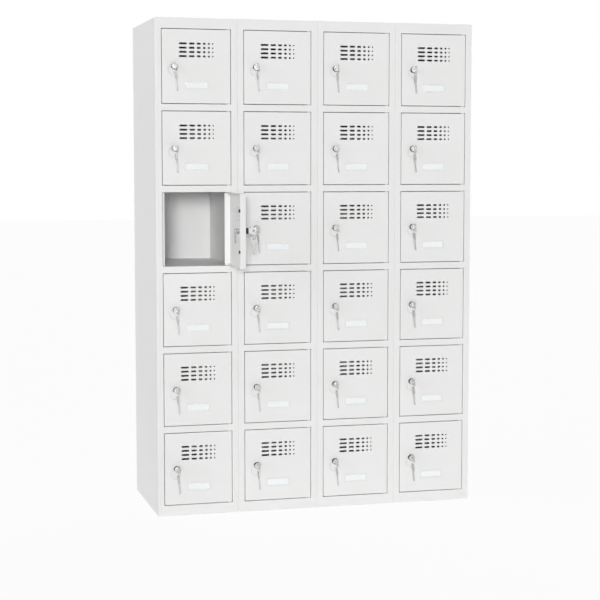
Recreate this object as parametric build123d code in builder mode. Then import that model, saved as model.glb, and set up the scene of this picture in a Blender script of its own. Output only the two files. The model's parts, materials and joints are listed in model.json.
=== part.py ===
from build123d import *
import os
from math import cos, radians, sin, sqrt

# A sheet-steel luggage locker: columns of compartments, each with a vented door
# on pin hinges, a cam lock with its key in it, and a spare key on a ring.
# Millimetres, +Z up. The origin is the middle of the footprint on the floor,
# and the doors face -Y. Row 1 is the top row and column 1 is on the left.

# Cabinet
column_count = 4
row_count = 6
locker_width = 1200.0
locker_height = 1800.0
locker_depth = 495.0
sheet = 1.0
bend_inside = 0.5
seam = 0.2
fit = 0.2
wall_gap = 0.6
stile = 23.0
top_rail = 38.0
base_rail = 38.0
shelf_rail = 24.0
rear_flange = 15.0
back_tray = 12.0

# Doors
open_column = 1
open_row = 3
open_angle = 90.5
door_gap = 2.2
door_depth = 20.0
lip_width = 14.0

# Hinge pins and washers
hinge_inset = 7.0
hinge_depth = 6.2
pin_radius = 2.5
pin_clearance = 0.05
flange_clearance = 0.08
pin_reach = 5.0
pin_head_radius = 4.0
pin_head = 1.5
pin_chamfer = 0.6
washer_radius = 6.0
washer_play = 0.3

# Vents: rows of slots that shorten from left to right
vent_rows = 4
vent_columns = 6
vent_pitch = 15.0
vent_first = 50.5
vent_height = 7.0
vent_length = 28.5
vent_shrink = 0.71
vent_gap = 8.0

# Card and its clear holder
card_width = 78.0
card_height = 19.0
card_thickness = 0.5
card_play = 0.2
card_drop = 198.25
holder_border = 5.0
holder_cover = 2.0
holder_corner = 2.0

# Rubber bumpers on the free edge
bumper_radius = 6.0
bumper_height = 4.0
bumper_gap = 0.3
bumper_inset = 7.0
bumper_rise = 72.0
bumper_chamfer = 0.5
stem_radius = 2.5
stem_clearance = 0.05
button_radius = 3.2
button_height = 1.2

# Strike strip that the cam turns behind
strike_overlap = 15.0
strike_reach = 12.0

# Lock
lock_inset = 43.5
lock_head_radius = 11.0
lock_head = 18.0
lock_head_rounding = 1.0
barrel_radius = 9.5
barrel_clearance = 0.05
nut_across_flats = 24.0
nut_thickness = 5.0
plug_radius = 6.5
plug_clearance = 0.05
cam_width = 16.0
cam_thickness = 2.5
cam_gap = 1.0
cam_play = 0.3
cam_edge = 1.5
cam_corner = 3.0
screw_radius = 2.0
screw_clearance = 0.05
screw_length = 4.5
screw_head_radius = 4.5
screw_head = 3.0

# Keys and ring
key_thickness = 2.0
key_bow_width = 25.0
key_bow_length = 22.0
key_bow_corner = 7.0
key_eye_radius = 4.0
key_eye_inset = 9.0
key_neck_length = 6.0
key_neck_width = 17.0
key_shoulder_width = 12.0
key_shoulder_gap = 0.5
key_shank_width = 8.5
key_shank_length = 38.5
key_tip = 2.5
key_cuts = (1.2, 2.0, 0.8, 1.6, 1.1)
key_cut_pitch = 5.5
key_cut_start = 9.0
keyway_clearance = 0.05
ring_radius = 17.0
ring_wire = 0.8
ring_offset = 0.4
ring_direction = 45.0
spare_direction = 36.0
spare_tilt = 5.7
spare_drop = 2.2

# Holes and bolts that join lockers side by side
joint_front = 40.0
joint_rear = 98.0
joint_drop = 192.0
joint_rise = 63.0
joint_hole_radius = 3.5
bolt_radius = 3.0
bolt_clearance = 0.2
bolt_head_radius = 5.0
bolt_head = 4.0
bolt_head_rounding = 1.0
bolt_end = 1.0
bolt_nut_radius = 5.0
bolt_nut = 5.0
thread_clearance = 0.05
spare_hole_radius = 2.0
spare_hole_front = 295.0
spare_hole_drop = 97.0

# What follows from the sizes above
bend_outside = bend_inside + sheet
front = -locker_depth / 2
back = locker_depth / 2
column_pitch = (locker_width + seam) / column_count
module_width = column_pitch - seam
half = module_width / 2
opening_width = module_width - 2 * stile
rails_height = top_rail + base_rail + (row_count - 1) * shelf_rail
opening_height = (locker_height - rails_height) / row_count
row_pitch = opening_height + shelf_rail
return_depth = door_depth
side_height = locker_height - sheet
panel_width = module_width - 2 * (sheet + wall_gap)
back_face = back - back_tray
shelf_back = back_face - fit

door_width = opening_width - 2 * door_gap
door_height = opening_height - 2 * door_gap
hinge_x = half - stile - door_gap - hinge_inset
hinge_y = front + hinge_depth
free_edge = hinge_inset - door_width
door_middle = hinge_inset - door_width / 2
pin_hole = pin_radius + pin_clearance
washer_height = door_gap - washer_play

strike_depth = door_depth + bumper_height + bumper_gap
cam_depth = strike_depth + sheet + cam_gap
barrel_length = cam_depth - cam_play
lock_x = free_edge + lock_inset
cam_length = lock_inset - cam_edge
keyway_depth = key_shank_length
key_eye_y = key_eye_inset - key_bow_length - key_neck_length
key_y = -hinge_depth - lock_head - key_shoulder_gap


def column_x(column):
    """Middle of a column."""
    return -locker_width / 2 + half + (column - 1) * column_pitch


def opening_top(row):
    """Height of the top of a row's openings."""
    return locker_height - top_rail - (row - 1) * row_pitch


def opening_bottom(row):
    """Height of the bottom of a row's openings."""
    return opening_top(row) - opening_height


columns = range(1, column_count + 1)
rows = range(1, row_count + 1)
cells = [(column, row) for column in columns for row in rows]


def fold_line(corners, inside):
    """Outline of a folded sheet, from the corners of its outer face."""
    with BuildLine() as outline:
        FilletPolyline(*corners, radius=bend_outside)
        offset(amount=sheet, side=inside)
    return outline.edges()


os.makedirs("parts", exist_ok=True)


# Side sheets: a front flange that makes half a post, a return behind it, and
# the wall. A left sheet and its mirror image stand in each column.
joint_places = [
    (front + joint_front, opening_top(1) - joint_drop),
    (back - joint_rear, opening_top(1) - joint_drop),
    (front + joint_front, opening_bottom(row_count) + joint_rise),
    (back - joint_rear, opening_bottom(row_count) + joint_rise),
]

bolt_places = [
    (column_x(column) + column_pitch / 2, y, z)
    for column in columns[:-1]
    for y, z in joint_places
]

side_corners = [
    (-half + stile, front + return_depth),
    (-half + stile, front),
    (-half, front),
    (-half, back),
]

with BuildPart() as left_sheet:
    with BuildSketch():
        make_face(fold_line(side_corners, Side.RIGHT))
    extrude(amount=side_height)

with BuildPart() as right_sheet:
    mirror(left_sheet.part, about=Plane.YZ)

with BuildPart() as side_panel_left:
    with Locations((column_x(1), 0, 0)):
        add(left_sheet.part)
    with BuildSketch(Plane.YZ.offset(column_x(1) - half)):
        with Locations(*joint_places):
            Circle(joint_hole_radius)
        with Locations((front + spare_hole_front, opening_top(1) - spare_hole_drop)):
            Circle(spare_hole_radius)
    extrude(amount=2 * sheet, mode=Mode.SUBTRACT)
side_panel_left.part.label = "side_panel_left"
export_step(side_panel_left.part, "parts/side_panel_left.step")

with BuildPart() as side_panel_right:
    with Locations((column_x(column_count), 0, 0)):
        add(right_sheet.part)
    with BuildSketch(Plane.YZ.offset(column_x(column_count) + half)):
        with Locations(*joint_places):
            Circle(joint_hole_radius)
    extrude(amount=-2 * sheet, mode=Mode.SUBTRACT)
side_panel_right.part.label = "side_panel_right"
export_step(side_panel_right.part, "parts/side_panel_right.step")

with BuildPart() as partition_panels:
    with Locations(*[(column_x(column), 0, 0) for column in columns[1:]]):
        add(left_sheet.part)
    with Locations(*[(column_x(column), 0, 0) for column in columns[:-1]]):
        add(right_sheet.part)
    with Locations(*bolt_places):
        Cylinder(bolt_radius + bolt_clearance, 4 * sheet, rotation=(0, 90, 0), mode=Mode.SUBTRACT)
partition_panels.part.label = "partition_panels"
export_step(partition_panels.part, "parts/partition_panels.step")


# Top panels: a lid sheet over the side sheets and the back, and a front rail
# between the posts
top_corners = [
    (back, locker_height),
    (front, locker_height),
    (front, opening_top(1)),
    (front + return_depth, opening_top(1)),
]

with BuildPart() as top_panel:
    with BuildSketch(Plane.YZ):
        make_face(fold_line(top_corners, Side.LEFT))
    extrude(amount=half, both=True)
    under = (Align.CENTER, Align.CENTER, Align.MAX)
    with Locations((-half, front, side_height), (half, front, side_height)):
        Box(2 * (stile + fit), 2 * (return_depth + fit), 2 * top_rail, align=under, mode=Mode.SUBTRACT)
    with Locations((hinge_x, hinge_y, opening_top(1))):
        Cylinder(pin_hole, 4 * sheet, mode=Mode.SUBTRACT)

with BuildPart() as top_panels:
    with Locations(*[(column_x(column), 0, 0) for column in columns]):
        add(top_panel.part)
top_panels.part.label = "top_panels"
export_step(top_panels.part, "parts/top_panels.step")


# Base panels: the floor sheet, a front rail down to the ground, and a rear
# flange, each with a return that stands on the ground
base_corners = [
    (shelf_back - return_depth, 0),
    (shelf_back, 0),
    (shelf_back, base_rail),
    (front, base_rail),
    (front, 0),
    (front + return_depth, 0),
]

with BuildPart() as base_panel:
    with BuildSketch(Plane.YZ):
        make_face(fold_line(base_corners, Side.LEFT))
    extrude(amount=panel_width / 2, both=True)
    with Locations((-half, front, 0), (half, front, 0)):
        Box(2 * (stile + fit), 2 * (return_depth + fit), 4 * base_rail, mode=Mode.SUBTRACT)
    with Locations((hinge_x, hinge_y, base_rail)):
        Cylinder(pin_hole, 4 * sheet, mode=Mode.SUBTRACT)

with BuildPart() as base_panels:
    with Locations(*[(column_x(column), 0, 0) for column in columns]):
        add(base_panel.part)
base_panels.part.label = "base_panels"
export_step(base_panels.part, "parts/base_panels.step")


# Back panels: shallow trays whose folded edges fit between the walls, flush
# with the rear
with BuildPart() as back_panel:
    with BuildSketch(Plane.XZ.offset(-back_face)):
        Rectangle(panel_width, side_height - wall_gap, align=(Align.CENTER, Align.MIN))
    extrude(amount=-back_tray)
    fillet(back_panel.edges().group_by(Axis.Y)[0], radius=bend_outside)
    offset(amount=-sheet, openings=back_panel.faces().sort_by(Axis.Y)[-1])

with BuildPart() as back_panels:
    with Locations(*[(column_x(column), 0, 0) for column in columns]):
        add(back_panel.part)
back_panels.part.label = "back_panels"
export_step(back_panels.part, "parts/back_panels.step")


# Shelves: a sheet level with the bottom of the opening above it, a front rail,
# a return over the door below, and a rear flange
shelf_corners = [
    (shelf_back, -rear_flange),
    (shelf_back, 0),
    (front, 0),
    (front, -shelf_rail),
    (front + return_depth, -shelf_rail),
]

with BuildPart() as shelf:
    with BuildSketch(Plane.YZ):
        make_face(fold_line(shelf_corners, Side.LEFT))
    extrude(amount=panel_width / 2, both=True)
    with Locations((-half, front, 0), (half, front, 0)):
        Box(2 * (stile + fit), 2 * (return_depth + fit), 4 * shelf_rail, mode=Mode.SUBTRACT)
    with Locations((hinge_x, hinge_y, 0)):
        Cylinder(pin_hole, 4 * shelf_rail, mode=Mode.SUBTRACT)

shelf_places = [(column_x(column), 0, opening_bottom(row)) for column, row in cells if row < row_count]

with BuildPart() as shelves:
    with Locations(*shelf_places):
        add(shelf.part)
shelves.part.label = "shelves"
export_step(shelves.part, "parts/shelves.step")


# Strike strips: an angle welded behind the return at the free edge of each door
strike_corners = [
    (-half + stile - 2 * sheet, front + return_depth - strike_overlap),
    (-half + stile - 2 * sheet, front + strike_depth + sheet),
    (-half + stile + strike_reach, front + strike_depth + sheet),
]

with BuildPart() as strike_strip:
    with BuildSketch(Plane.XY.offset(fit)):
        make_face(fold_line(strike_corners, Side.RIGHT))
    extrude(amount=opening_height - 2 * fit)

with BuildPart() as strike_strips:
    with Locations(*[(column_x(column), 0, opening_bottom(row)) for column, row in cells]):
        add(strike_strip.part)
strike_strips.part.label = "strike_strips"
export_step(strike_strips.part, "parts/strike_strips.step")


# Hinge pins: one through the sheet above each door and one through the sheet
# below it, each reaching into the door's own flange
top_pin_places = [(column_x(column) + hinge_x, hinge_y, opening_top(row)) for column, row in cells]
low_pin_places = [(column_x(column) + hinge_x, hinge_y, opening_bottom(row)) for column, row in cells]

with BuildPart() as top_pin:
    with BuildSketch(Plane.XY.offset(sheet)):
        Circle(pin_radius)
    extrude(amount=-(sheet + door_gap + sheet + pin_reach))
    chamfer(top_pin.edges().sort_by(Axis.Z)[0], length=pin_chamfer)
    with BuildSketch(Plane.XY.offset(sheet)):
        Circle(pin_head_radius)
    extrude(amount=pin_head)

with BuildPart() as low_pin:
    mirror(top_pin.part, about=Plane.XY)

with BuildPart() as hinge_pins:
    with Locations(*top_pin_places):
        add(top_pin.part)
    with Locations(*low_pin_places):
        add(low_pin.part)
hinge_pins.part.label = "hinge_pins"
export_step(hinge_pins.part, "parts/hinge_pins.step")

with BuildPart() as washer:
    with BuildSketch():
        Circle(washer_radius)
        Circle(pin_hole, mode=Mode.SUBTRACT)
    extrude(amount=washer_height)

with BuildPart() as hinge_washers:
    with Locations(*low_pin_places):
        add(washer.part)
    with Locations(*[(x, y, z - washer_height) for x, y, z in top_pin_places]):
        add(washer.part)
hinge_washers.part.label = "hinge_washers"
export_step(hinge_washers.part, "parts/hinge_washers.step")


# Bolts and nuts that hold neighbouring columns together
clamp = seam / 2 + sheet

with BuildPart() as bolt:
    with BuildSketch(Plane.YZ.offset(-clamp)):
        Circle(bolt_head_radius)
    extrude(amount=-bolt_head)
    fillet(bolt.edges().sort_by(Axis.X)[0], radius=bolt_head_rounding)
    with BuildSketch(Plane.YZ.offset(-clamp)):
        Circle(bolt_radius)
    extrude(amount=2 * clamp + bolt_nut + bolt_end)

with BuildPart() as bolt_nut_piece:
    with BuildSketch(Plane.YZ.offset(clamp)):
        RegularPolygon(bolt_nut_radius, 6, major_radius=False)
        Circle(bolt_radius + thread_clearance, mode=Mode.SUBTRACT)
    extrude(amount=bolt_nut)

with BuildPart() as joining_bolts:
    with Locations(*bolt_places):
        add(bolt.part)
joining_bolts.part.label = "joining_bolts"
export_step(joining_bolts.part, "parts/joining_bolts.step")

with BuildPart() as joining_nuts:
    with Locations(*bolt_places):
        add(bolt_nut_piece.part)
joining_nuts.part.label = "joining_nuts"
export_step(joining_nuts.part, "parts/joining_nuts.step")


# One door, closed, in its own frame: the origin is on the hinge axis at half
# the door's height
door_front = Plane.XZ.offset(hinge_depth)
door_rear = door_front.offset(-door_depth)
lock_face = door_front.offset(lock_head)
cam_front = door_front.offset(-cam_depth)
lock_centre = (lock_x, 0)
bumper_places = [(free_edge + bumper_inset, bumper_rise), (free_edge + bumper_inset, -bumper_rise)]

vent_lengths = [vent_length * vent_shrink**column for column in range(vent_columns)]
vents_width = sum(vent_lengths) + (vent_columns - 1) * vent_gap
vents_left = door_middle - vents_width / 2
vent_middles = [
    vents_left + sum(vent_lengths[:column]) + column * vent_gap + length / 2
    for column, length in enumerate(vent_lengths)
]
vent_levels = [door_height / 2 - vent_first - row * vent_pitch for row in range(vent_rows)]

with BuildPart() as leaf:
    with BuildSketch(door_front):
        with Locations((door_middle, 0)):
            Rectangle(door_width, door_height)
    extrude(amount=-door_depth)
    fillet(leaf.edges().group_by(Axis.Y)[0], radius=bend_outside)
    offset(amount=-sheet, openings=leaf.faces().sort_by(Axis.Y)[-1])
    with BuildSketch(door_rear):
        with Locations((free_edge, 0)):
            Rectangle(lip_width, door_height, align=(Align.MIN, Align.CENTER))
    extrude(amount=sheet)
    rear_corner = (free_edge, door_depth - hinge_depth, 0)
    fillet(leaf.edges().filter_by(Axis.Z).sort_by_distance(rear_corner)[0], radius=bend_outside)
    with BuildSketch(door_front):
        for middle, length in zip(vent_middles, vent_lengths):
            with Locations(*[(middle, level) for level in vent_levels]):
                if length > vent_height:
                    SlotOverall(length, vent_height)
                else:
                    Circle(length / 2)
        with Locations(lock_centre):
            Circle(barrel_radius + barrel_clearance)
    extrude(amount=-2 * sheet, mode=Mode.SUBTRACT)
    with BuildSketch(door_rear):
        with Locations(*bumper_places):
            Circle(stem_radius + stem_clearance)
    extrude(amount=2 * sheet, mode=Mode.SUBTRACT)
    Cylinder(pin_radius + flange_clearance, 2 * door_height, mode=Mode.SUBTRACT)
leaf.part.label = "leaf"

with BuildPart() as bumpers:
    with BuildSketch(door_rear):
        with Locations(*bumper_places):
            Circle(bumper_radius)
    extrude(amount=-bumper_height)
    chamfer(bumpers.edges().group_by(Axis.Y)[-1], length=bumper_chamfer)
    with BuildSketch(door_rear):
        with Locations(*bumper_places):
            Circle(stem_radius)
    extrude(amount=sheet)
    with BuildSketch(door_rear.offset(sheet)):
        with Locations(*bumper_places):
            Circle(button_radius)
    extrude(amount=button_height)
bumpers.part.label = "bumpers"

card_centre = (door_middle, door_height / 2 - card_drop)

with BuildPart() as card_holder:
    with BuildSketch(door_front):
        with Locations(card_centre):
            RectangleRounded(card_width + 2 * holder_border, card_height + 2 * holder_border, holder_corner)
    extrude(amount=card_thickness + holder_cover)
    with BuildSketch(door_front):
        with Locations(card_centre):
            Rectangle(card_width + 2 * card_play, card_height + 2 * card_play)
    extrude(amount=card_thickness + card_play, mode=Mode.SUBTRACT)
card_holder.part.label = "card_holder"

with BuildPart() as card:
    with BuildSketch(door_front):
        with Locations(card_centre):
            Rectangle(card_width, card_height)
    extrude(amount=card_thickness)
card.part.label = "card"

with BuildPart() as lock_housing:
    with BuildSketch(door_front):
        with Locations(lock_centre):
            Circle(lock_head_radius)
    extrude(amount=lock_head)
    fillet(lock_housing.edges().group_by(Axis.Y)[0], radius=lock_head_rounding)
    with BuildSketch(door_front):
        with Locations(lock_centre):
            Circle(barrel_radius)
    extrude(amount=-barrel_length)
    with BuildSketch(lock_face):
        with Locations(lock_centre):
            Circle(plug_radius + plug_clearance)
    extrude(amount=-(lock_head + barrel_length), mode=Mode.SUBTRACT)
lock_housing.part.label = "lock_housing"

with BuildPart() as lock_nut:
    with BuildSketch(door_front.offset(-sheet)):
        with Locations(lock_centre):
            RegularPolygon(nut_across_flats / 2, 6, major_radius=False)
            Circle(barrel_radius + barrel_clearance, mode=Mode.SUBTRACT)
    extrude(amount=-nut_thickness)
lock_nut.part.label = "lock_nut"


# The parts of the lock that turn: plug, cam and cam screw
with BuildPart() as plug:
    with BuildSketch(lock_face):
        with Locations(lock_centre):
            Circle(plug_radius)
    extrude(amount=-(lock_head + cam_depth))
    with BuildSketch(lock_face):
        with Locations(lock_centre):
            Rectangle(key_thickness + 2 * keyway_clearance, key_shank_width + 2 * keyway_clearance)
    extrude(amount=-keyway_depth, mode=Mode.SUBTRACT)
    with BuildSketch(cam_front):
        with Locations(lock_centre):
            Circle(screw_radius + screw_clearance)
    extrude(amount=screw_length - cam_thickness, mode=Mode.SUBTRACT)
plug.part.label = "plug"

with BuildPart() as cam:
    with BuildSketch(cam_front) as cam_outline:
        with Locations(lock_centre):
            Rectangle(cam_width, cam_length, align=(Align.CENTER, Align.MAX))
        fillet(cam_outline.vertices().group_by(Axis.Y)[0], radius=cam_corner)
        with Locations(lock_centre):
            Circle(cam_width / 2)
            Circle(screw_radius + screw_clearance, mode=Mode.SUBTRACT)
    extrude(amount=-cam_thickness)
cam.part.label = "cam"

with BuildPart() as cam_screw:
    with BuildSketch(cam_front.offset(-cam_thickness)):
        with Locations(lock_centre):
            Circle(screw_radius)
    extrude(amount=screw_length)
    with BuildSketch(cam_front.offset(-cam_thickness)):
        with Locations(lock_centre):
            Circle(screw_head_radius)
    extrude(amount=-screw_head)
cam_screw.part.label = "cam_screw"


# A key in its own frame: flat in the YZ plane, its shoulder at the origin and
# its tip towards +Y
with BuildPart() as key:
    with BuildSketch(Plane.YZ) as key_outline:
        with Locations((-key_neck_length - key_bow_length / 2, 0)):
            RectangleRounded(key_bow_length, key_bow_width, key_bow_corner)
        with BuildLine():
            Polyline(
                (0, -key_shoulder_width / 2),
                (-key_neck_length, -key_neck_width / 2),
                (-2 * key_neck_length, -key_neck_width / 2),
                (-2 * key_neck_length, key_neck_width / 2),
                (-key_neck_length, key_neck_width / 2),
                (0, key_shoulder_width / 2),
                close=True,
            )
        make_face()
        Rectangle(key_shank_length, key_shank_width, align=(Align.MIN, Align.CENTER))
        chamfer(key_outline.vertices().group_by(Axis.X)[-1], length=key_tip)
        for place, cut in enumerate(key_cuts):
            with Locations((key_cut_start + place * key_cut_pitch, key_shank_width / 2)):
                Rectangle(sqrt(2) * cut, sqrt(2) * cut, rotation=45, mode=Mode.SUBTRACT)
        with Locations((key_eye_y, 0)):
            Circle(key_eye_radius, mode=Mode.SUBTRACT)
    extrude(amount=key_thickness / 2, both=True)
key.part.label = "key"

inserted_key = Pos(lock_x, key_y, 0) * key.part
inserted_key.label = "inserted_key"


# The ring hangs from the eye of the inserted key, clear of the key as it
# turns, and the spare key hangs from the ring
eye_y = key_y + key_eye_y
ring_distance = ring_radius + ring_offset
ring_x = lock_x - ring_distance * cos(radians(ring_direction))
ring_z = -ring_distance * sin(radians(ring_direction))

with BuildPart() as key_ring:
    with BuildSketch(Plane.XY.offset(ring_z)):
        with Locations((ring_x + ring_radius, eye_y)):
            Circle(ring_wire)
    revolve(axis=Axis((ring_x, eye_y, ring_z), (0, 1, 0)))
key_ring.part.label = "key_ring"

spare_x = ring_x + ring_radius * sin(radians(spare_direction)) + spare_drop * sin(radians(spare_tilt))
spare_z = ring_z - ring_radius * cos(radians(spare_direction)) - spare_drop * cos(radians(spare_tilt))
hanging = Pos(spare_x, eye_y, spare_z) * Rot(0, -spare_tilt, 0) * Rot(-90, 0, 0) * Pos(0, -key_eye_y, 0)
spare_key = hanging * key.part
spare_key.label = "spare_key"


# A door and a lock for each cell, with one door standing open
door_pieces = [
    leaf.part,
    bumpers.part,
    card_holder.part,
    card.part,
    lock_housing.part,
    lock_nut.part,
    key_ring.part,
    spare_key,
]
lock_pieces = [plug.part, cam.part, cam_screw.part, inserted_key]

for column, row in cells:
    standing_open = column == open_column and row == open_row
    hinge = (column_x(column) + hinge_x, hinge_y, opening_bottom(row) + opening_height / 2)
    place = Location(hinge, (0, 0, open_angle if standing_open else 0))
    door_name = f"door_c{column}_r{row}"
    door = Compound(label=door_name, children=[piece.moved(place) for piece in door_pieces])
    export_step(door, f"parts/{door_name}.step")
    lock_name = f"lock_c{column}_r{row}"
    lock = Compound(label=lock_name, children=[piece.moved(place) for piece in lock_pieces])
    export_step(lock, f"parts/{lock_name}.step")
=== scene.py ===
# %% [markdown]
# # A steel luggage locker
# The cabinet is folded from 1 mm sheet, with four columns of six compartments.
# Its folded sheets come from the CAD model and keep their shape here. The doors,
# locks and keys are modelled again, with rounded folds, threads, grooves and a
# split ring, because that is where the eye goes. Everything is in metres, in the
# CAD model's frame: +Z is up and the doors face -Y.

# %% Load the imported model
import json
from math import cos, radians, sin, sqrt

import bmesh
import bpy
from mathutils import Matrix, Quaternion, Vector


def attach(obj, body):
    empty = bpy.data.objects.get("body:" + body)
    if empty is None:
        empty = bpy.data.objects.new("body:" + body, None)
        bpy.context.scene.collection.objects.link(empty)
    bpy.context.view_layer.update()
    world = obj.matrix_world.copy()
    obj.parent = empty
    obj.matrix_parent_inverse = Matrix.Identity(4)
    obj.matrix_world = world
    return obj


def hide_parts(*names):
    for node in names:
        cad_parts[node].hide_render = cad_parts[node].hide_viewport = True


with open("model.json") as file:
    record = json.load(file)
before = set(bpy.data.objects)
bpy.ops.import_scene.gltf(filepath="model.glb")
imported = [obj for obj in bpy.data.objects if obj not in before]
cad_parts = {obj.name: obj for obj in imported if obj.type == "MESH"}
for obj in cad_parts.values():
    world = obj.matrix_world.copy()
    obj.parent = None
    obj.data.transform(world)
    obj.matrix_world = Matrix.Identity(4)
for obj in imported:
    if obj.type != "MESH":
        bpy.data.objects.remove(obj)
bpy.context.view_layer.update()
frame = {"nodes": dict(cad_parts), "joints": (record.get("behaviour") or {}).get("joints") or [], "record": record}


# %% [markdown]
# ## Colours and shader nodes
# Paint charts and screens give colours as sRGB hex values, but shaders work with
# linear light, so one function converts them. Every material starts as a new
# Principled shader, and one more function adds a node, sets it up and links it.

# %% Colour and node helpers
def linear(code):
    """An sRGB hex colour as linear red, green, blue and alpha."""
    values = [int(code[place:place + 2], 16) / 255 for place in (1, 3, 5)]
    return [v / 12.92 if v <= 0.04045 else ((v + 0.055) / 1.055) ** 2.4 for v in values] + [1.0]


def new_material(name, **sockets):
    """A material whose Principled shader has these values on its sockets."""
    material = bpy.data.materials.new(name)
    material.use_nodes = True
    shader = material.node_tree.nodes["Principled BSDF"]
    for socket, value in sockets.items():
        shader.inputs[socket.replace("_", " ")].default_value = value
    return material, shader


def add_node(material, kind, inputs, **settings):
    """Adds a node. An input is either a value or another node's output."""
    node = material.node_tree.nodes.new(kind)
    for name, value in settings.items():
        setattr(node, name, value)
    for socket, value in inputs.items():
        if isinstance(value, bpy.types.NodeSocket):
            material.node_tree.links.new(value, node.inputs[socket])
        else:
            node.inputs[socket].default_value = value
    return node


def link(material, output, target):
    """Joins a node's output to another node's input."""
    material.node_tree.links.new(output, target)


# %% [markdown]
# ## Off-white powder coat
# The sheets are sprayed with dry polyester powder that melts in an oven. The eye
# sees a satin skin with a fine orange peel, small waves about 2 mm across. A noise
# texture drives the bump, and one slow noise lets gloss and colour wander a
# little. A flat colour would look like card. The waves are drawn at 2.4 mm.

# %% Powder coat
PEEL, PEEL_DEPTH = 0.0024, 0.0002
DRIFT = 0.18

powder_coat, coat = new_material("off_white_powder_coat", IOR=1.5)
place = add_node(powder_coat, "ShaderNodeTexCoord", {}).outputs["Object"]
peel = add_node(
    powder_coat, "ShaderNodeTexNoise", {"Vector": place, "Scale": 1 / PEEL, "Detail": 2.0},
)
bump = add_node(
    powder_coat, "ShaderNodeBump",
    {"Height": peel.outputs["Fac"], "Strength": 0.25, "Distance": PEEL_DEPTH},
)
drift = add_node(
    powder_coat, "ShaderNodeTexNoise", {"Vector": place, "Scale": 1 / DRIFT, "Detail": 3.0},
)
tint = add_node(
    powder_coat, "ShaderNodeMix",
    {"Factor": drift.outputs["Fac"], "A": linear("#EDEDEC"), "B": linear("#F1F1F1")},
    data_type="RGBA",
)
sheen = add_node(
    powder_coat, "ShaderNodeMapRange",
    {
        "Value": drift.outputs["Fac"],
        "From Min": 0.3, "From Max": 0.7, "To Min": 0.38, "To Max": 0.47,
    },
)
link(powder_coat, bump.outputs["Normal"], coat.inputs["Normal"])
link(powder_coat, tint.outputs["Result"], coat.inputs["Base Color"])
link(powder_coat, sheen.outputs["Result"], coat.inputs["Roughness"])
print("powder coat: orange peel", PEEL * 1000, "mm")


# %% [markdown]
# ## Nickel, zinc with painted shade, and bright zinc
# Lock faces are satin nickel plate over die-cast zinc: a light, neutral metal with
# hair-fine polishing marks. Keys have the same plate, brighter from handling. The
# side of the lock's head is die-cast zinc painted nearly black. This is painted shade
# for the shaded door that the side reflects. Hinge pins, bolts, nuts and cams are
# zinc-plated steel, which is a little bluer. Polishing marks are noise stretched
# along one direction, and the zinc plate's dull grain is the same noise unstretched.
# Real ones are under 0.1 mm wide, and these are 0.3 mm so that they show.

# %% Metals
MARK, MARK_DEPTH = 0.0003, 0.000005


def plated_metal(name, colour, roughness, stretch=(1.0, 1.0, 0.08)):
    """A metal with polishing marks that are long in Z, unless it is stretched evenly."""
    material, shader = new_material(name, Base_Color=linear(colour), Metallic=1.0)
    place = add_node(material, "ShaderNodeTexCoord", {}).outputs["Object"]
    along = add_node(material, "ShaderNodeMapping", {"Vector": place, "Scale": stretch})
    marks = add_node(
        material, "ShaderNodeTexNoise",
        {"Vector": along.outputs["Vector"], "Scale": 1 / MARK, "Detail": 2.0},
    )
    bump = add_node(
        material, "ShaderNodeBump",
        {"Height": marks.outputs["Fac"], "Strength": 0.15, "Distance": MARK_DEPTH},
    )
    dull = add_node(
        material, "ShaderNodeMapRange",
        {"Value": marks.outputs["Fac"], "To Min": roughness - 0.06, "To Max": roughness + 0.08},
    )
    link(material, bump.outputs["Normal"], shader.inputs["Normal"])
    link(material, dull.outputs["Result"], shader.inputs["Roughness"])
    return material


nickel = plated_metal("satin_nickel_plate", "#BABAB9", 0.42)
worn_nickel = plated_metal("handled_nickel_plate", "#C4C4C3", 0.4)
# Nearly black: painted shade on the side of the lock's head, not the metal's own tone.
painted_shade_zinc = plated_metal("burnished_die_cast_zinc", "#3A3A3C", 0.38)
bright_zinc = plated_metal("zinc_plated_steel", "#BFC1C2", 0.36, stretch=(1.0, 1.0, 1.0))
print("metals:", nickel.name, worn_nickel.name, painted_shade_zinc.name, bright_zinc.name)


# %% [markdown]
# ## Plastics, rubber and card
# The washers are natural nylon, milky and satin. The bumpers are black rubber with
# a fine matt grain. The holder over each card is clear, glossy plastic, made with
# alpha because so thin a sheet hardly bends the light. Its moulded rim is a little
# cloudy and its window isn't. The card is bleached board with faint fibres.

# %% Nylon, rubber, clear plastic and card
def grained(name, colour, second_colour, roughness, grain, depth, **sockets):
    """A material whose colour and bump follow a grain of this size."""
    material, shader = new_material(name, Roughness=roughness, **sockets)
    place = add_node(material, "ShaderNodeTexCoord", {}).outputs["Object"]
    noise = add_node(
        material, "ShaderNodeTexNoise", {"Vector": place, "Scale": 1 / grain, "Detail": 3.0},
    )
    tint = add_node(
        material, "ShaderNodeMix",
        {"Factor": noise.outputs["Fac"], "A": linear(colour), "B": linear(second_colour)},
        data_type="RGBA",
    )
    bump = add_node(
        material, "ShaderNodeBump",
        {"Height": noise.outputs["Fac"], "Strength": 0.2, "Distance": depth},
    )
    link(material, tint.outputs["Result"], shader.inputs["Base Color"])
    link(material, bump.outputs["Normal"], shader.inputs["Normal"])
    return material


nylon = grained("natural_nylon", "#EDECE6", "#E4E2DA", 0.45, 0.003, 0.00005)
rubber = grained("black_rubber", "#2E2E2E", "#3A3A3A", 0.75, 0.0008, 0.0001)
board = grained("bleached_card", "#FAFEFF", "#FCFFFF", 0.8, 0.0012, 0.00003)
clear_plastic = grained(
    "clear_plastic", "#F0F5F5", "#F4F8F8", 0.12, 0.02, 0.00002, Alpha=0.12, IOR=1.49,
)
clear_window = grained(
    "clear_plastic_window", "#F2F8F8", "#F6FAFA", 0.08, 0.02, 0.00001, Alpha=0.03, IOR=1.49,
)
print("plastics:", nylon.name, rubber.name, board.name, clear_plastic.name, clear_window.name)


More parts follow.
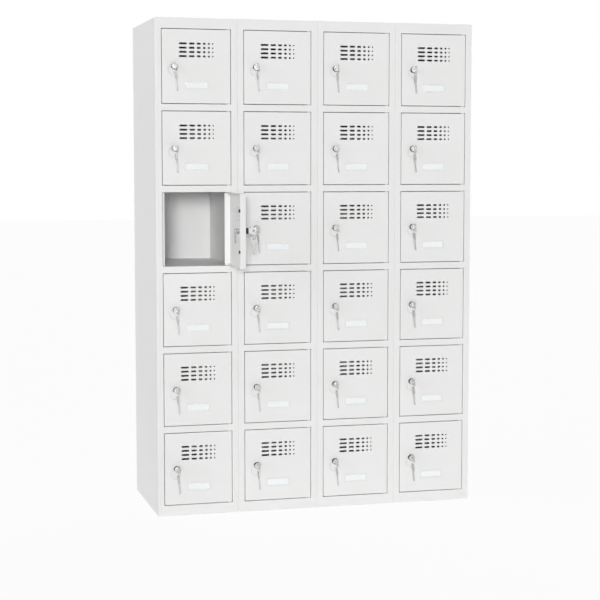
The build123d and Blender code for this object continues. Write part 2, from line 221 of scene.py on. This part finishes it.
# %% [markdown]
# ## Finishes on the folded sheets
# The cabinet's own sheets, pins, washers, bolts and nuts keep their CAD shape, so
# they only get a finish in their material slots.

# %% Finish the CAD nodes
finishes = {
    "powder_coat": powder_coat, "zinc_steel": bright_zinc, "nylon": nylon, "nickel_plate": nickel,
}
for subpart in frame["record"]["subparts"]:
    node = frame["nodes"][subpart["node"]]
    node.material_slots[0].material = finishes[subpart["material_slot"]]
print(len(frame["nodes"]), "nodes finished")


# %% [markdown]
# ## Modelling helpers
# Each piece starts as a cube or a cylinder of the right size, in millimetres, and
# is then shaped in edit mode. Before an operator runs, faces or edges are picked in
# code by where their middle is and which way they face.

# %% Modelling helpers
MM = 0.001


def select_none():
    """Leaves edit mode and deselects everything."""
    if bpy.context.mode != "OBJECT":
        bpy.ops.object.mode_set(mode="OBJECT")
    bpy.ops.object.select_all(action="DESELECT")


def only(piece):
    """Makes a piece the one selected, active object."""
    select_none()
    piece.select_set(True)
    bpy.context.view_layer.objects.active = piece


def named(name):
    """Names the primitive that was just added, and applies its place and size."""
    piece = bpy.context.object
    piece.name = piece.data.name = name
    only(piece)
    bpy.ops.object.transform_apply(location=True, rotation=True, scale=True)
    return piece


def block(name, low, high):
    """A cube stretched between two corners."""
    select_none()
    low, high = Vector(low) * MM, Vector(high) * MM
    bpy.ops.mesh.primitive_cube_add(size=1, location=(low + high) / 2, scale=high - low)
    return named(name)


def rod(name, radius, start, end, sides=48, turn=0.0):
    """A cylinder between two points, turned about its own axis by this many degrees."""
    select_none()
    start, end = Vector(start) * MM, Vector(end) * MM
    aim = (end - start).to_track_quat("Z", "Y") @ Quaternion((0, 0, 1), radians(turn))
    bpy.ops.mesh.primitive_cylinder_add(
        vertices=sides, radius=radius * MM, depth=(end - start).length,
        location=(start + end) / 2, rotation=aim.to_euler(),
    )
    return named(name)


def pick(piece, kind, test):
    """In edit mode, selects the faces or edges whose middle and direction pass a test."""
    only(piece)
    bpy.ops.object.mode_set(mode="EDIT")
    bpy.ops.mesh.select_mode(type="FACE" if kind == "faces" else "EDGE")
    bpy.ops.mesh.select_all(action="DESELECT")
    mesh = bmesh.from_edit_mesh(piece.data)
    for part in getattr(mesh, kind):
        corners = [corner.co for corner in part.verts]
        middle = sum(corners, Vector()) / len(corners) / MM
        way = part.normal if kind == "faces" else (corners[1] - corners[0]).normalized()
        if test(middle, way):
            part.select_set(True)
    bmesh.update_edit_mesh(piece.data)


def extrude(x=0.0, y=0.0, z=0.0):
    """Extrudes what is selected."""
    bpy.ops.mesh.extrude_region_move(TRANSFORM_OT_translate={"value": Vector((x, y, z)) * MM})


def inset(width):
    """Insets the selected faces."""
    bpy.ops.mesh.inset(thickness=width * MM)


def bevel(width, segments=3):
    """Rounds the selected edges."""
    bpy.ops.mesh.bevel(offset=width * MM, segments=segments, affect="EDGES")


def modify(piece, kind, **settings):
    """Adds a modifier and applies it."""
    only(piece)
    modifier = piece.modifiers.new(kind.lower(), kind)
    for name, value in settings.items():
        setattr(modifier, name, value)
    bpy.ops.object.modifier_apply(modifier=modifier.name)


def combine(piece, other, operation="DIFFERENCE"):
    """Cuts another piece from this one, or joins it on, and removes the other."""
    modify(piece, "BOOLEAN", operation=operation, solver="EXACT", object=other)
    bpy.data.objects.remove(other)


def round_edges(piece, width, segments=2, angle=40):
    """Rounds every sharp edge."""
    modify(
        piece, "BEVEL", width=width * MM, segments=segments, limit_method="ANGLE",
        angle_limit=radians(angle), use_clamp_overlap=True,
    )


def complete(piece, *materials):
    """Closes doubles, turns faces outwards, shades the piece and gives it its finish."""
    only(piece)
    bpy.ops.object.mode_set(mode="EDIT")
    bpy.ops.mesh.select_all(action="SELECT")
    bpy.ops.mesh.remove_doubles(threshold=0.000002)
    bpy.ops.mesh.normals_make_consistent(inside=False)
    bpy.ops.object.mode_set(mode="OBJECT")
    bpy.ops.object.shade_smooth_by_angle(angle=radians(35))
    modify(piece, "WEIGHTED_NORMAL", keep_sharp=True)
    for material in materials:
        piece.data.materials.append(material)
    print(piece.name, len(piece.data.polygons), "faces")
    return piece


# %% [markdown]
# ## Ground welds on the front frame
# Where a rail meets a post, the real frame is welded and ground flush before it is
# coated, so no gap shows there. The CAD sheets leave a fifth of a millimetre and a
# rounded fold. A thin bead covers each of these joints: one is modelled for each
# rail height as a block with bevelled front edges, and copied along the rows.

# %% Model the welds
COLUMNS, ROWS = 4, 6
COLUMN_PITCH, HALF_MODULE, STILE = 300.05, 149.925, 23.0
FRAME_FRONT, FRAME_TOP, TOP_FOLD = -247.5, 1800.0, 1.6
OPENING, RAIL, SHELF_RAIL = 267.33333, 38.0, 24.0
WELD_SIDE, WELD_OVERLAP, WELD_PROUD, WELD_DEEP, WELD_BEVEL = 2.0, 0.6, 0.04, 0.6, 0.5

rails = [(FRAME_TOP - RAIL, FRAME_TOP - TOP_FOLD), (0.0, RAIL)]
for row in range(1, ROWS):
    upper_edge = FRAME_TOP - RAIL - row * (OPENING + SHELF_RAIL) + SHELF_RAIL
    rails.append((upper_edge - SHELF_RAIL, upper_edge))

beads = []
for low, high in rails:
    bead = block(
        "bead",
        (-WELD_SIDE, FRAME_FRONT - WELD_PROUD, low),
        (WELD_OVERLAP, FRAME_FRONT + WELD_DEEP, high),
    )
    pick(bead, "edges", lambda middle, way: middle.y < FRAME_FRONT and abs(way.z) > 0.9)
    bevel(WELD_BEVEL)
    bpy.ops.object.mode_set(mode="OBJECT")
    for column in range(COLUMNS):
        for side in (-1, 1):
            copy = bead.copy()
            copy.data = bead.data.copy()
            column_x = (column - (COLUMNS - 1) / 2) * COLUMN_PITCH
            joint_x = column_x + side * (HALF_MODULE - STILE)
            moved = Matrix.Translation((joint_x * MM, 0, 0))
            copy.data.transform(moved @ Matrix.Diagonal((-side, 1, 1, 1)))
            bpy.context.scene.collection.objects.link(copy)
            beads.append(copy)
    bpy.data.objects.remove(bead)
only(beads[0])
for bead in beads:
    bead.select_set(True)
bpy.ops.object.join()
rail_welds = bpy.context.object
rail_welds.name = rail_welds.data.name = "rail_welds"
complete(rail_welds, powder_coat)
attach(rail_welds, "carcass")


# %% [markdown]
# ## The door leaf
# A blank of 1 mm sheet is folded back on all four sides, and once more into a lip
# behind the free edge. It could be a solid box hollowed out, but folding is how
# the real one is made: the rear of a box is deleted, the free edge is extruded
# into the lip, the folds are rounded, and Solidify gives the sheet its thickness.
# The door's own frame has its origin on the hinge axis, at half its height.

# %% Fold the leaf
SHEET = 1.0
FOLD = 1.5
DOOR_WIDTH, DOOR_HEIGHT, DOOR_DEPTH = 249.45, 262.93333, 20.0
HINGE_EDGE = 7.0
FREE_EDGE = HINGE_EDGE - DOOR_WIDTH
DOOR_FRONT = -6.2
DOOR_REAR = DOOR_FRONT + DOOR_DEPTH
LIP = 14.0
TOP = DOOR_HEIGHT / 2

leaf = block("leaf", (FREE_EDGE, DOOR_FRONT, -TOP), (HINGE_EDGE, DOOR_REAR, TOP))
pick(leaf, "faces", lambda middle, way: way.y > 0.9)
bpy.ops.mesh.delete(type="ONLY_FACE")
pick(leaf, "edges", lambda middle, way: middle.y < DOOR_FRONT + 1 or abs(way.y) > 0.9)
bevel(FOLD, 4)
pick(leaf, "edges", lambda middle, way: middle.y > DOOR_REAR - 0.1 and middle.x < FREE_EDGE + 0.1)
extrude(x=LIP)
pick(leaf, "edges", lambda middle, way: (
    abs(way.z) > 0.9 and middle.y > DOOR_REAR - 0.1 and middle.x < FREE_EDGE + 0.1
))
bevel(FOLD, 4)
bpy.ops.mesh.select_all(action="SELECT")
bpy.ops.mesh.normals_make_consistent(inside=False)
modify(leaf, "SOLIDIFY", thickness=SHEET * MM, offset=-1, use_even_offset=True)
print("leaf", len(leaf.data.polygons), "faces, before its holes")


# %% [markdown]
# ## Vents, lock hole and small holes
# The vents are punched: four rows of six slots, each 0.71 times as long as the
# one on its left, with round ends. A slot's punch is a 24-sided cylinder, turned so
# that one side looks straight up, with the sides on its right pulled along. Plain
# cylinders punch the lock hole, the pin holes in the folds and the stem holes in
# the lip.

# %% Punch the holes
VENT_ROWS, VENT_COLUMNS = 4, 6
VENT_HEIGHT, VENT_PITCH, VENT_GAP = 7.0, 15.0, 8.0
VENT_FIRST = 50.5
VENT_LENGTH, VENT_SHRINK = 28.5, 0.71
LOCK_X = FREE_EDGE + 43.5
MIDDLE = HINGE_EDGE - DOOR_WIDTH / 2
BUMPER_X, BUMPER_Z = FREE_EDGE + 7.0, 72.0
BUMPERS = [(BUMPER_X, BUMPER_Z), (BUMPER_X, -BUMPER_Z)]
LOCK_HOLE, STEM_HOLE, PIN_HOLE = 9.55, 2.55, 2.58

lengths = [VENT_LENGTH * VENT_SHRINK**column for column in range(VENT_COLUMNS)]
left = MIDDLE - (sum(lengths) + VENT_GAP * (VENT_COLUMNS - 1)) / 2
for length in lengths:
    radius = min(VENT_HEIGHT, length) / 2
    for row in range(VENT_ROWS):
        level = TOP - VENT_FIRST - row * VENT_PITCH
        start = left + radius
        punch = rod(
            "punch", radius, (start, DOOR_FRONT - 2, level), (start, DOOR_FRONT + 3, level),
            sides=24, turn=7.5,
        )
        pick(punch, "faces", lambda middle, way: way.x > 0.1)
        bpy.ops.transform.translate(value=((length - 2 * radius) * MM, 0, 0))
        combine(leaf, punch)
    left += length + VENT_GAP

combine(leaf, rod("punch", LOCK_HOLE, (LOCK_X, DOOR_FRONT - 2, 0), (LOCK_X, DOOR_FRONT + 3, 0)))
for x, z in BUMPERS:
    combine(leaf, rod("punch", STEM_HOLE, (x, DOOR_REAR - 3, z), (x, DOOR_REAR + 2, z), 24))
for z in (-TOP, TOP):
    combine(leaf, rod("punch", PIN_HOLE, (0, 0, z - 3), (0, 0, z + 3), 24))
complete(leaf, powder_coat)


# %% [markdown]
# ## The lock's housing
# The head stands 18 mm proud of the door, and the threaded barrel passes through
# it. The front and rear ends of a cylinder are inset and extruded step by step:
# backwards for the barrel and its thread, inwards for the ring groove round the
# plug. Bridging the two inner faces opens the bore.

# %% Model the housing
HEAD_RADIUS, HEAD = 11.0, 18.0
BARREL_RADIUS, BARREL = 9.5, 26.0
BORE = 6.55
THREAD, THREAD_DEPTH, THREADS = 1.5, 0.45, 14
FACE_RIM, GROOVE_WIDTH, GROOVE_DEPTH = 2.2, 0.9, 0.7
HEAD_BEVEL = 1.0
LOCK_FACE = DOOR_FRONT - HEAD


def from_lock_axis(middle):
    """How far a point, in millimetres, is from the lock's axis."""
    return sqrt((middle.x - LOCK_X) ** 2 + middle.z**2)


housing = rod("lock_housing", HEAD_RADIUS, (LOCK_X, LOCK_FACE, 0), (LOCK_X, DOOR_FRONT, 0))
lock_axis = Vector((LOCK_X, 0, 0)) * MM
pick(housing, "faces", lambda middle, way: way.y > 0.9)
inset(HEAD_RADIUS - BARREL_RADIUS)
extrude(y=BARREL - THREADS * THREAD)
root = 1 - THREAD_DEPTH / BARREL_RADIUS
for scale in (root, 1 / root) * THREADS:
    extrude(y=THREAD / 2)
    bpy.ops.transform.resize(value=(scale, 1, scale), center_override=lock_axis)
inset(BARREL_RADIUS - BORE)
pick(housing, "faces", lambda middle, way: way.y < -0.9 and middle.y < LOCK_FACE + 0.1)
inset(FACE_RIM)
extrude(y=GROOVE_DEPTH)
inset(GROOVE_WIDTH)
extrude(y=-GROOVE_DEPTH)
inset(HEAD_RADIUS - FACE_RIM - GROOVE_WIDTH - BORE)
pick(housing, "faces", lambda middle, way: abs(way.y) > 0.9 and from_lock_axis(middle) < 0.1)
bpy.ops.mesh.bridge_edge_loops()
pick(housing, "edges", lambda middle, way: (
    middle.y < LOCK_FACE + 0.01 and from_lock_axis(middle) > HEAD_RADIUS - 0.1
))
bevel(HEAD_BEVEL)
complete(housing, nickel, painted_shade_zinc)
# The side of the head takes the zinc painted nearly black, which is painted shade.
for face in housing.data.polygons:
    middle = face.center / MM
    if from_lock_axis(middle) > HEAD_RADIUS - 0.5 and LOCK_FACE + 0.8 < middle.y < DOOR_FRONT:
        face.material_index = 1


# %% [markdown]
# ## The nut behind the door
# A plain hexagon nut, 24 mm across its flats, holds the housing. Its corners are
# turned down on both faces, so a six-sided cylinder is intersected with a round
# one whose rims are bevelled, and the bore is cut last.

# %% Model the nut
NUT_FLATS, NUT_THICKNESS, NUT_TURNED, NUT_CHAMFER = 24.0, 5.0, 13.6, 1.2
NUT_START = DOOR_FRONT + SHEET
NUT_END = NUT_START + NUT_THICKNESS

nut_corner = NUT_FLATS / 2 / cos(radians(30))
lock_nut = rod("lock_nut", nut_corner, (LOCK_X, NUT_START, 0), (LOCK_X, NUT_END, 0), 6)
turned = rod("turned", NUT_TURNED, (LOCK_X, NUT_START, 0), (LOCK_X, NUT_END, 0))
round_edges(turned, NUT_CHAMFER)
combine(lock_nut, turned, "INTERSECT")
combine(lock_nut, rod("punch", LOCK_HOLE, (LOCK_X, NUT_START - 2, 0), (LOCK_X, NUT_END + 2, 0)))
complete(lock_nut, bright_zinc)


# %% [markdown]
# ## Card and clear holder
# A clear moulding is stuck on the door and holds a blank card. Its corners are
# rounded, its window is a shallow recess inside a raised rim, and the pocket for
# the card is a recess from the rear. Its rear sinks into the coat by a hair, so
# that light never meets two surfaces at the same place.

# %% Model the card and its holder
CARD_WIDTH, CARD_HEIGHT, CARD_THICKNESS = 78.0, 19.0, 0.5
CARD_CORNER, CARD_EDGE = 1.2, 0.12
CARD_Z = TOP - 198.25
BORDER, COVER, PLAY, SINK = 5.0, 2.0, 0.2, 0.03
HOLDER_CORNER, HOLDER_EDGE, RIM_WIDTH, RIM_DEPTH = 2.0, 0.6, 2.6, 0.5

card_front = DOOR_FRONT - CARD_THICKNESS
holder_front = card_front - COVER


def card_block(name, front, rear, margin=0.0):
    """A block centred on the card, this much larger than it on every side."""
    across, up = CARD_WIDTH / 2 + margin, CARD_HEIGHT / 2 + margin
    return block(name, (MIDDLE - across, front, CARD_Z - up), (MIDDLE + across, rear, CARD_Z + up))


holder = card_block("card_holder", holder_front, DOOR_FRONT + SINK, BORDER)
pick(holder, "edges", lambda middle, way: abs(way.y) > 0.9)
bevel(HOLDER_CORNER, 5)
pick(holder, "edges", lambda middle, way: middle.y < holder_front + 0.01)
bevel(HOLDER_EDGE)
combine(holder, card_block(
    "recess", holder_front - 1, holder_front + RIM_DEPTH, BORDER - RIM_WIDTH,
))
combine(holder, card_block("recess", card_front - PLAY, DOOR_FRONT + 1, PLAY))
complete(holder, clear_plastic, clear_window)
for face in holder.data.polygons:
    middle = face.center / MM
    across, up = abs(middle.x - MIDDLE), abs(middle.z - CARD_Z)
    over_card = across < CARD_WIDTH / 2 + 1 and up < CARD_HEIGHT / 2 + 1
    if abs(face.normal.y) > 0.9 and middle.y > holder_front + 0.3 and over_card:
        face.material_index = 1

card = card_block("card", card_front, DOOR_FRONT)
pick(card, "edges", lambda middle, way: abs(way.y) > 0.9)
bevel(CARD_CORNER, 4)
pick(card, "edges", lambda middle, way: middle.y < card_front + 0.01)
bevel(CARD_EDGE, 2)
complete(card, board)


# %% [markdown]
# ## Rubber bumpers
# Two soft buttons on the lip meet the strike strip when the door closes. Each is
# pushed through a hole: a domed pad outside, a stem in the sheet and a wider
# button inside. One cylinder is bevelled at its rear and extruded at its front.

# %% Model the bumpers
PAD_RADIUS, PAD, PAD_DOME = 6.0, 4.0, 1.4
STEM_RADIUS, BUTTON_RADIUS = 2.5, 3.2
BUTTON, BUTTON_TIP, TIP_SCALE = 0.8, 0.4, 0.8


def bumper(x, z):
    """One bumper on the lip."""
    axis = Vector((x, 0, z)) * MM
    piece = rod("bumper", PAD_RADIUS, (x, DOOR_REAR, z), (x, DOOR_REAR + PAD, z), 32)
    pick(piece, "edges", lambda middle, way: middle.y > DOOR_REAR + PAD - 0.1)
    bevel(PAD_DOME, 4)
    pick(piece, "faces", lambda middle, way: way.y < -0.9)
    inset(PAD_RADIUS - STEM_RADIUS)
    extrude(y=-SHEET)
    extrude()
    wider = BUTTON_RADIUS / STEM_RADIUS
    bpy.ops.transform.resize(value=(wider, 1, wider), center_override=axis)
    extrude(y=-BUTTON)
    extrude(y=-BUTTON_TIP)
    bpy.ops.transform.resize(value=(TIP_SCALE, 1, TIP_SCALE), center_override=axis)
    bpy.ops.object.mode_set(mode="OBJECT")
    return piece


bumpers, second = [bumper(x, z) for x, z in BUMPERS]
only(bumpers)
second.select_set(True)
bpy.ops.object.join()
bumpers.name = bumpers.data.name = "bumpers"
complete(bumpers, rubber)


# %% [markdown]
# ## The part of the lock that turns
# The plug has a keyway and is flush with the lock's face. A steel cam is screwed on
# its rear end and swings behind the strike strip. The cam is a flat bar with one
# round end, and the screw has a cross recess.

# %% Model the plug, cam and screw
PLUG_RADIUS, PLUG_BEVEL = 6.5, 0.4
CAM_GAP = 0.3
CAM_FRONT = DOOR_FRONT + BARREL + CAM_GAP
CAM_WIDTH, CAM_LENGTH, CAM_THICKNESS = 16.0, 42.0, 2.5
CAM_CORNER, CAM_EDGE, CAM_FLAT = 3.0, 0.3, 0.01
KEY_THICKNESS, SHANK_WIDTH, SHANK_LENGTH, KEY_PLAY = 2.0, 8.5, 38.5, 0.05
SCREW_RADIUS, SCREW, SCREW_DOME = 4.5, 3.0, 0.9
CROSS_REACH, CROSS_WIDTH, CROSS_FLOOR = 2.6, 0.45, 1.4

plug = rod("plug", PLUG_RADIUS, (LOCK_X, LOCK_FACE, 0), (LOCK_X, CAM_FRONT, 0))
pick(plug, "edges", lambda middle, way: middle.y < LOCK_FACE + 0.01)
bevel(PLUG_BEVEL, 2)
across, up = KEY_THICKNESS / 2 + KEY_PLAY, SHANK_WIDTH / 2 + KEY_PLAY
combine(plug, block(
    "keyway",
    (LOCK_X - across, LOCK_FACE - 1, -up),
    (LOCK_X + across, LOCK_FACE + SHANK_LENGTH, up),
))
complete(plug, nickel)

cam = block(
    "cam",
    (LOCK_X - CAM_WIDTH / 2, CAM_FRONT, -CAM_LENGTH),
    (LOCK_X + CAM_WIDTH / 2, CAM_FRONT + CAM_THICKNESS, CAM_WIDTH / 2),
)
pick(cam, "edges", lambda middle, way: abs(way.y) > 0.9 and middle.z > 0)
bevel(CAM_WIDTH / 2 - CAM_FLAT, 12)
pick(cam, "edges", lambda middle, way: abs(way.y) > 0.9 and middle.z < -CAM_LENGTH + 0.1)
bevel(CAM_CORNER, 5)
round_edges(cam, CAM_EDGE)
complete(cam, bright_zinc)

screw_start = CAM_FRONT + CAM_THICKNESS
screw_end = screw_start + SCREW
screw = rod("cam_screw", SCREW_RADIUS, (LOCK_X, screw_start, 0), (LOCK_X, screw_end, 0), 32)
pick(screw, "edges", lambda middle, way: middle.y > screw_end - 0.1)
bevel(SCREW_DOME)
for across, up in ((CROSS_REACH, CROSS_WIDTH), (CROSS_WIDTH, CROSS_REACH)):
    combine(screw, block(
        "recess",
        (LOCK_X - across, screw_start + CROSS_FLOOR, -up),
        (LOCK_X + across, screw_end + 2, up),
    ))
complete(screw, bright_zinc)


# %% [markdown]
# ## The key
# A key blank is stamped from 2 mm brass, milled and nickel plated. The bow is a
# block with large round corners and a sunk panel. The shank and the tapered neck
# are extruded from a second block and joined on. The eye, the bitting cuts along
# one edge and a groove along each side are then cut. The key is modelled with its
# shoulder at the origin and its tip towards +Y.

# %% Model the key
BOW_LENGTH, BOW_WIDTH, BOW_CORNER = 22.0, 25.0, 7.0
PANEL_INSET, PANEL_DEPTH = 2.2, 0.25
NECK, NECK_WIDTH, SHOULDER_WIDTH, NECK_OVERLAP = 6.0, 17.0, 12.0, 2.1
EYE_RADIUS, EYE_INSET = 4.0, 9.0
TIP = 2.5
CUTS, FIRST_CUT, CUT_PITCH = (1.2, 2.0, 0.8, 1.6, 1.1), 9.0, 5.5
GROOVE_RADIUS, GROOVE_X, GROOVE_Z, GROOVE_START = 0.9, 1.35, -1.2, 1.5
KEY_EDGE = 0.18
half_key = KEY_THICKNESS / 2

key = block(
    "key", (-half_key, -NECK - BOW_LENGTH, -BOW_WIDTH / 2), (half_key, -NECK, BOW_WIDTH / 2),
)
pick(key, "edges", lambda middle, way: abs(way.x) > 0.9)
bevel(BOW_CORNER, 8)
pick(key, "faces", lambda middle, way: abs(way.x) > 0.9)
bpy.ops.mesh.inset(thickness=PANEL_INSET * MM, depth=-PANEL_DEPTH * MM)

shank = block("shank", (-half_key, 0, -SHANK_WIDTH / 2), (half_key, SHANK_LENGTH, SHANK_WIDTH / 2))
pick(shank, "edges", lambda middle, way: middle.y > SHANK_LENGTH - 0.1 and abs(way.x) > 0.9)
bevel(TIP, 1)
pick(shank, "faces", lambda middle, way: way.y < -0.9)
extrude()
bpy.ops.transform.resize(value=(1, 1, SHOULDER_WIDTH / SHANK_WIDTH), center_override=(0, 0, 0))
extrude(y=-NECK)
bpy.ops.transform.resize(value=(1, 1, NECK_WIDTH / SHOULDER_WIDTH), center_override=(0, 0, 0))
extrude(y=-NECK_OVERLAP)
combine(key, shank, "UNION")

eye_y = -NECK - BOW_LENGTH + EYE_INSET
combine(key, rod("eye", EYE_RADIUS, (-3, eye_y, 0), (3, eye_y, 0), 32))
for number, cut in enumerate(CUTS):
    y, z = FIRST_CUT + CUT_PITCH * number, SHANK_WIDTH / 2
    combine(key, rod("notch", cut, (-3, y, z), (3, y, z), 4))
for x in (-GROOVE_X, GROOVE_X):
    combine(key, rod(
        "groove", GROOVE_RADIUS, (x, GROOVE_START, GROOVE_Z), (x, SHANK_LENGTH + 2, GROOVE_Z), 12,
    ))
round_edges(key, KEY_EDGE, 1, 35)
complete(key, worn_nickel)


# %% [markdown]
# ## The split ring
# Real rings are two flat turns of spring wire. A small circle of wire is carried
# round twice by a Screw modifier, which also moves it along the axis by one wire
# thickness for each turn. Its two open ends are then filled.

# %% Model the split ring
RING_RADIUS, WIRE, RING_STEPS = 17.0, 0.42, 56
RING_DROP, RING_DIRECTION = 0.4, radians(45)
SHOULDER_GAP = 0.5
KEY_Y = LOCK_FACE - SHOULDER_GAP
EYE_Y = KEY_Y + eye_y
RING_X = LOCK_X - (RING_RADIUS + RING_DROP) * cos(RING_DIRECTION)
RING_Z = -(RING_RADIUS + RING_DROP) * sin(RING_DIRECTION)

select_none()
bpy.ops.mesh.primitive_circle_add(
    vertices=8, radius=WIRE * MM, location=(RING_RADIUS * MM, 0, -WIRE * MM),
)
bpy.context.object.rotation_euler.x = radians(90)
key_ring = named("key_ring")
modify(
    key_ring, "SCREW", axis="Z", angle=radians(360), iterations=2, screw_offset=2 * WIRE * MM,
    steps=RING_STEPS, render_steps=RING_STEPS, use_merge_vertices=False,
)
only(key_ring)
bpy.ops.object.mode_set(mode="EDIT")
bpy.ops.mesh.select_mode(type="EDGE")
bpy.ops.mesh.select_all(action="DESELECT")
bpy.ops.mesh.select_non_manifold()
bpy.ops.mesh.edge_face_add()
bpy.ops.object.mode_set(mode="OBJECT")
key_ring.rotation_euler.x = radians(90)
key_ring.location = Vector((RING_X, EYE_Y, RING_Z)) * MM
bpy.ops.object.transform_apply(location=True, rotation=True, scale=True)
complete(key_ring, worn_nickel)


# %% [markdown]
# ## Keys in their places
# The key stands in the plug, turned so that its edge points up. Its copy, the
# spare, hangs from the ring by its own eye and leans a little to the right.

# %% Place the two keys
SPARE_DIRECTION, SPARE_TILT, SPARE_DROP = radians(36), radians(5.7), 2.2
spare_x = RING_X + RING_RADIUS * sin(SPARE_DIRECTION) + SPARE_DROP * sin(SPARE_TILT)
spare_z = RING_Z - RING_RADIUS * cos(SPARE_DIRECTION) - SPARE_DROP * cos(SPARE_TILT)

spare_key = key.copy()
spare_key.data = key.data.copy()
spare_key.name = spare_key.data.name = "spare_key"
bpy.context.scene.collection.objects.link(spare_key)
hanging = (
    Matrix.Translation(Vector((spare_x, EYE_Y, spare_z)) * MM)
    @ Matrix.Rotation(-SPARE_TILT, 4, "Y")
    @ Matrix.Rotation(radians(-90), 4, "X")
    @ Matrix.Translation((0, -eye_y * MM, 0))
)
spare_key.data.transform(hanging)
key.data.transform(Matrix.Translation(Vector((LOCK_X, KEY_Y, 0)) * MM))
print("spare key hangs at", round(spare_x, 1), round(spare_z, 1))


# %% [markdown]
# ## Twenty-four doors and locks
# Each hinge joint in the record says where a door's frame stands and how far the
# door is already open. Every piece is copied with its own mesh and moved there, so
# its object stays at the origin. It rides on its door or on its lock, and stands
# for that CAD node.

# %% Copy the pieces to every compartment
door_pieces = {
    leaf: "powder_coat", bumpers: "rubber", holder: "clear_plastic", card: "card",
    housing: "nickel_plate", lock_nut: "zinc_steel",
    key_ring: "nickel_plate", spare_key: "nickel_plate",
}
lock_pieces = {plug: "nickel_plate", cam: "zinc_steel", screw: "zinc_steel", key: "nickel_plate"}

for joint in frame["joints"]:
    if not joint["name"].startswith("hinge_"):
        continue
    cell = joint["name"].removeprefix("hinge_")
    opened = radians(-joint["range_deg"][0])
    stand = Matrix.Translation(joint["pos_m"]) @ Matrix.Rotation(opened, 4, "Z")
    for node, pieces in ((f"door_{cell}", door_pieces), (f"lock_{cell}", lock_pieces)):
        for original, slot in pieces.items():
            piece = original.copy()
            piece.data = original.data.copy()
            piece.name = piece.data.name = f"{original.name}_{cell}"
            piece.data.transform(stand)
            bpy.context.scene.collection.objects.link(piece)
            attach(piece, node)
            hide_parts(node)
for original in [*door_pieces, *lock_pieces]:
    bpy.data.objects.remove(original)


# %% [markdown]
# ## Camera
# The camera stands at the left, a little above the locker's middle and nearly 6 m
# from it, with a long lens. It looks down by 5 degrees and to the right by 15.

# %% Camera
LENS, SENSOR = 93.76, 36.0
LOOKS_DOWN, LOOKS_RIGHT = 4.984, 15.021

camera_data = bpy.data.cameras.new("camera")
camera_data.lens = LENS
camera_data.sensor_width = SENSOR
camera_data.clip_end = 200
camera = bpy.data.objects.new("camera", camera_data)
camera.location = (-1.5548, -5.7958, 1.2815)
camera.rotation_euler = (radians(90 - LOOKS_DOWN), 0, -radians(LOOKS_RIGHT))
bpy.context.scene.collection.objects.link(camera)
bpy.context.scene.camera = camera
print("camera at", tuple(camera.location))


# %% [markdown]
# ## Floor
# A white floor runs into a white world, as in a studio with a swept backdrop. For
# the rays that show it, to the camera, in a reflection or through clear plastic,
# it is mostly bright by itself. So it stays white and still shows a soft shadow.

# %% Floor
FLOOR_SIZE, MOTTLES_PER_METRE = 60, 3.0
FLOOR_GLOW = 0.94


def seen_rays(material):
    """1 for the rays that show what is there (camera, glossy and transmission), else 0."""
    rays = add_node(material, "ShaderNodeLightPath", {}).outputs
    seen = rays["Is Camera Ray"]
    for kind in ("Is Glossy Ray", "Is Transmission Ray"):
        seen = add_node(
            material, "ShaderNodeMath", {0: seen, 1: rays[kind]}, operation="MAXIMUM",
        ).outputs["Value"]
    return seen


select_none()
bpy.ops.mesh.primitive_plane_add(size=FLOOR_SIZE)
floor = bpy.context.object
floor.name = "floor"
white_floor, floor_shader = new_material("white_floor", Roughness=0.9)
place = add_node(white_floor, "ShaderNodeTexCoord", {}).outputs["Object"]
mottle = add_node(
    white_floor, "ShaderNodeTexNoise", {"Vector": place, "Scale": MOTTLES_PER_METRE, "Detail": 2.0},
)
tone = add_node(
    white_floor, "ShaderNodeMix",
    {"Factor": mottle.outputs["Fac"], "A": linear("#F2F2F2"), "B": linear("#F6F6F6")},
    data_type="RGBA",
)
share = add_node(
    white_floor, "ShaderNodeMath", {0: seen_rays(white_floor), 1: FLOOR_GLOW}, operation="MULTIPLY",
)
glow = add_node(white_floor, "ShaderNodeEmission", {"Color": linear("#FFFFFF"), "Strength": 1.0})
blend = add_node(
    white_floor, "ShaderNodeMixShader",
    {0: share.outputs["Value"], 1: floor_shader.outputs["BSDF"], 2: glow.outputs["Emission"]},
)
surface = white_floor.node_tree.nodes["Material Output"].inputs["Surface"]
link(white_floor, tone.outputs["Result"], floor_shader.inputs["Base Color"])
link(white_floor, blend.outputs["Shader"], surface)
floor.data.materials.append(white_floor)
print("floor", FLOOR_SIZE, "m across")


# %% [markdown]
# ## World and lamps
# The same rays see the world at strength 1, and it lights everything else at 0.2.
# Four soft suns light the front, the left side, the top and the rear.

# %% World and lamps
AMBIENT = 0.2

world = bpy.data.worlds.new("studio")
bpy.context.scene.world = world
world.use_nodes = True
sky = world.node_tree.nodes["Background"]
sky.inputs["Color"].default_value = linear("#FFFFFF")
strength = add_node(
    world, "ShaderNodeMapRange", {"Value": seen_rays(world), "To Min": AMBIENT, "To Max": 1.0},
)
link(world, strength.outputs["Result"], sky.inputs["Strength"])


def sun(name, strength, direction, softness):
    """A sun that shines along a direction; softness is its width in degrees."""
    light = bpy.data.lights.new(name, "SUN")
    light.energy = strength
    light.angle = radians(softness)
    lamp = bpy.data.objects.new(name, light)
    lamp.rotation_euler = Vector(direction).to_track_quat("-Z", "Y").to_euler()
    bpy.context.scene.collection.objects.link(lamp)


sun("front_light", 1.65, (0.24, 0.965, -0.09), 10)
sun("left_light", 1.08, (1.0, 0.1, -0.25), 60)
sun("top_light", 0.2, (0.1, 0.2, -1.0), 60)
sun("rear_light", 1.2, (-0.5, -1.0, -0.3), 60)

bpy.context.scene.view_settings.view_transform = "Standard"
print("ambient", AMBIENT, "and four soft lamps")
